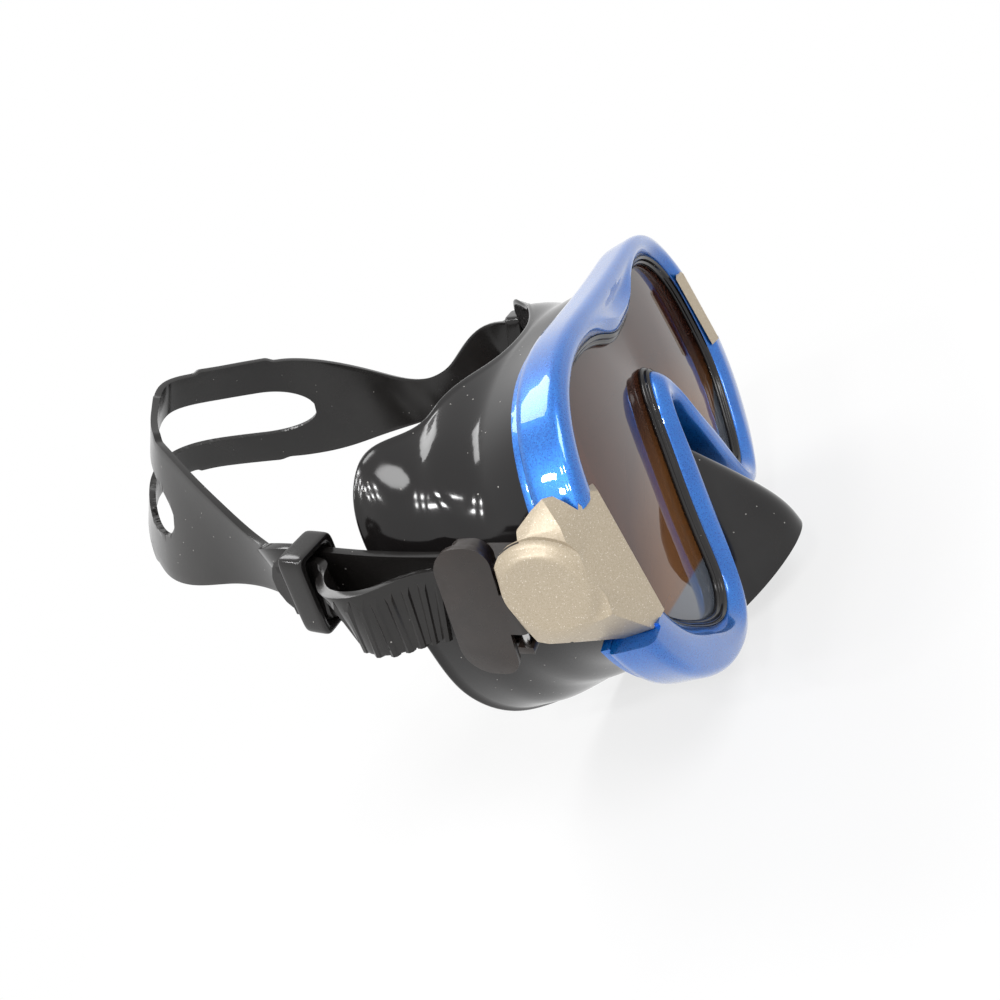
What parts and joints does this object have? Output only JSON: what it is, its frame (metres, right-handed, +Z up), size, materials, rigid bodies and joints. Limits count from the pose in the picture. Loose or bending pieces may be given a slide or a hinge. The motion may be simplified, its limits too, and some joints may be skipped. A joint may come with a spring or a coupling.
{
  "type": "diving mask",
  "caption": "Single-lens diving mask with a black skirt and nose pocket, blue frame, side strap covers, swivelling ratchet buckles and a split head strap.",
  "frame": {"origin": "on the front plane of the frame, at the axis through both strap pivots' height, in the mask's plane of symmetry", "axes": "+X to the wearer's left, +Y from the lens towards the face, +Z up as worn"},
  "size_m": [0.1726, 0.1972, 0.1452],
  "materials": {
    "blue_frame": "gloss metallic",
    "lens_glass": "tinted, polished",
    "black_silicone": "gloss",
    "strap_silicone": "satin",
    "silver_cap": "satin",
    "buckle_plastic": "satin",
    "pin_steel": "polished"
  },
  "bodies": {
    "mask": {"lens": "lens_glass", "front_bezel": "blue_frame", "lens_retainer": "blue_frame", "skirt": "black_silicone", "left_clip_cover": "silver_cap", "right_clip_cover": "silver_cap", "left_pivot_pin": "pin_steel", "right_pivot_pin": "pin_steel"},
    "strap": {"head_strap": "strap_silicone", "left_buckle_body": "buckle_plastic", "left_lever_pin": "pin_steel", "left_lever_spring": "pin_steel", "right_buckle_body": "buckle_plastic", "right_lever_pin": "pin_steel", "right_lever_spring": "pin_steel"},
    "left_lever": {"left_release_lever": "buckle_plastic"},
    "left_roller": {"left_strap_roller": "buckle_plastic"},
    "left_keeper": {"left_strap_keeper": "strap_silicone"},
    "right_lever": {"right_release_lever": "buckle_plastic"},
    "right_roller": {"right_strap_roller": "buckle_plastic"},
    "right_keeper": {"right_strap_keeper": "strap_silicone"}
  },
  "joints": [
    {"name": "strap_tilt", "type": "hinge", "parent": "mask", "child": "strap", "pos_m": [0, 0.0178, 0.004], "axis": [1, 0, 0], "range_deg": [-20, 25]},
    {"name": "left_lever_release", "type": "hinge", "parent": "strap", "child": "left_lever", "pos_m": [0.0788, 0.0209, 0.00513], "axis": [0, 0.342, -0.9397], "range_deg": [0, 8], "stiffness_Nm_per_rad": 0.05, "springref_deg": -5.73},
    {"name": "left_roller_spin", "type": "hinge", "parent": "strap", "child": "left_roller", "pos_m": [0.074, 0.02795, 0.00769], "axis": [0, -0.342, 0.9397], "continuous": true},
    {"name": "left_keeper_slide", "type": "slide", "parent": "strap", "child": "left_keeper", "axis": [-0.0587, 0.9098, 0.4109], "range_m": [-0.001, 0.002]},
    {"name": "right_lever_release", "type": "hinge", "parent": "strap", "child": "right_lever", "pos_m": [-0.0788, 0.0209, 0.00513], "axis": [0, -0.342, 0.9397], "range_deg": [0, 8], "stiffness_Nm_per_rad": 0.05, "springref_deg": -5.73},
    {"name": "right_roller_spin", "type": "hinge", "parent": "strap", "child": "right_roller", "pos_m": [-0.074, 0.02795, 0.00769], "axis": [0, -0.342, 0.9397], "continuous": true},
    {"name": "right_keeper_slide", "type": "slide", "parent": "strap", "child": "right_keeper", "axis": [0.0587, 0.9098, 0.4109], "range_m": [-0.001, 0.002]}
  ]
}
